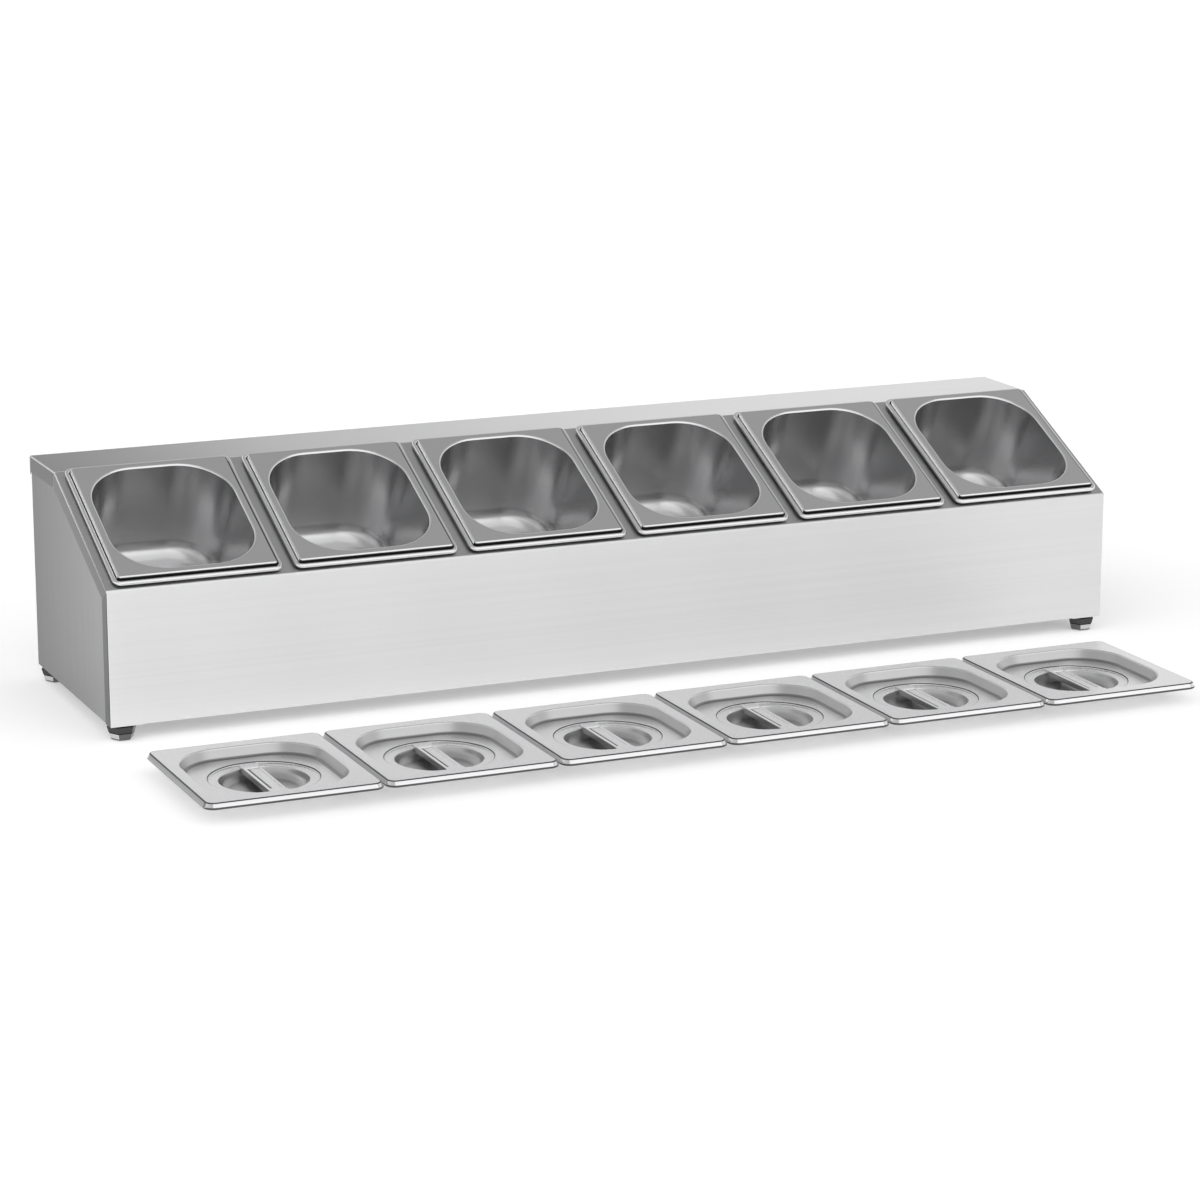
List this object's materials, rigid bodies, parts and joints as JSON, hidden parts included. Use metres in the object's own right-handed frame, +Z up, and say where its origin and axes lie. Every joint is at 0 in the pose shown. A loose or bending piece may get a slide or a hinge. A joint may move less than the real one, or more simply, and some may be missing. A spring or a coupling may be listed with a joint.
{
  "type": "gastronorm topping rack",
  "caption": "Long stainless counter-top topping rack: sloped deck with drop-in gastronorm pans, flat rear shelf, levelling feet, and recessed-handle lids laid out in front.",
  "frame": {"origin": "on the counter, below the middle of the rack and the row of lids in front of it", "axes": "+X along the rack, +Y from the lids to the back of the rack, +Z up"},
  "size_m": [1.042, 0.5284, 0.2251],
  "materials": {
    "body_steel": "brushed along its length",
    "pan_steel": "satin, polished rim",
    "lid_steel": "satin",
    "foot_steel": "bright",
    "hardware_steel": "plain"
  },
  "bodies": {
    "rack": {"deck_shell": "body_steel", "left_end_panel": "body_steel", "right_end_panel": "body_steel", "back_panel": "body_steel", "foot_bracket_front_left": "hardware_steel", "foot_bracket_front_right": "hardware_steel", "foot_bracket_rear_right": "hardware_steel", "foot_bracket_rear_left": "hardware_steel", "foot_nuts": "hardware_steel"},
    "pan_1": {"pan_1": "pan_steel"},
    "pan_2": {"pan_2": "pan_steel"},
    "pan_3": {"pan_3": "pan_steel"},
    "pan_4": {"pan_4": "pan_steel"},
    "pan_5": {"pan_5": "pan_steel"},
    "pan_6": {"pan_6": "pan_steel"},
    "lid_1": {"lid_1": "lid_steel", "lid_handle_1": "lid_steel"},
    "lid_2": {"lid_2": "lid_steel", "lid_handle_2": "lid_steel"},
    "lid_3": {"lid_3": "lid_steel", "lid_handle_3": "lid_steel"},
    "lid_4": {"lid_4": "lid_steel", "lid_handle_4": "lid_steel"},
    "lid_5": {"lid_5": "lid_steel", "lid_handle_5": "lid_steel"},
    "lid_6": {"lid_6": "lid_steel", "lid_handle_6": "lid_steel"},
    "foot_front_left": {"foot_front_left": "foot_steel", "foot_stud_front_left": "hardware_steel"},
    "foot_front_right": {"foot_front_right": "foot_steel", "foot_stud_front_right": "hardware_steel"},
    "foot_rear_right": {"foot_rear_right": "foot_steel", "foot_stud_rear_right": "hardware_steel"},
    "foot_rear_left": {"foot_rear_left": "foot_steel", "foot_stud_rear_left": "hardware_steel"}
  },
  "joints": [
    {"name": "pan_1_lift", "type": "slide", "parent": "rack", "child": "pan_1", "axis": [0, -0.4305, 0.9026], "range_m": [0, 0.13]},
    {"name": "pan_2_lift", "type": "slide", "parent": "rack", "child": "pan_2", "axis": [0, -0.4305, 0.9026], "range_m": [0, 0.13]},
    {"name": "pan_3_lift", "type": "slide", "parent": "rack", "child": "pan_3", "axis": [0, -0.4305, 0.9026], "range_m": [0, 0.13]},
    {"name": "pan_4_lift", "type": "slide", "parent": "rack", "child": "pan_4", "axis": [0, -0.4305, 0.9026], "range_m": [0, 0.13]},
    {"name": "pan_5_lift", "type": "slide", "parent": "rack", "child": "pan_5", "axis": [0, -0.4305, 0.9026], "range_m": [0, 0.13]},
    {"name": "pan_6_lift", "type": "slide", "parent": "rack", "child": "pan_6", "axis": [0, -0.4305, 0.9026], "range_m": [0, 0.13]},
    {"name": "lid_1_lift", "type": "slide", "parent": "rack", "child": "lid_1", "axis": [0, 0, 1], "range_m": [0, 0.24]},
    {"name": "lid_2_lift", "type": "slide", "parent": "rack", "child": "lid_2", "axis": [0, 0, 1], "range_m": [0, 0.24]},
    {"name": "lid_3_lift", "type": "slide", "parent": "rack", "child": "lid_3", "axis": [0, 0, 1], "range_m": [0, 0.24]},
    {"name": "lid_4_lift", "type": "slide", "parent": "rack", "child": "lid_4", "axis": [0, 0, 1], "range_m": [0, 0.24]},
    {"name": "lid_5_lift", "type": "slide", "parent": "rack", "child": "lid_5", "axis": [0, 0, 1], "range_m": [0, 0.24]},
    {"name": "lid_6_lift", "type": "slide", "parent": "rack", "child": "lid_6", "axis": [0, 0, 1], "range_m": [0, 0.24]},
    {"name": "foot_front_left_level", "type": "slide", "parent": "rack", "child": "foot_front_left", "axis": [0, 0, -1], "range_m": [0, 0.008]},
    {"name": "foot_front_right_level", "type": "slide", "parent": "rack", "child": "foot_front_right", "axis": [0, 0, -1], "range_m": [0, 0.008]},
    {"name": "foot_rear_right_level", "type": "slide", "parent": "rack", "child": "foot_rear_right", "axis": [0, 0, -1], "range_m": [0, 0.008]},
    {"name": "foot_rear_left_level", "type": "slide", "parent": "rack", "child": "foot_rear_left", "axis": [0, 0, -1], "range_m": [0, 0.008]}
  ]
}
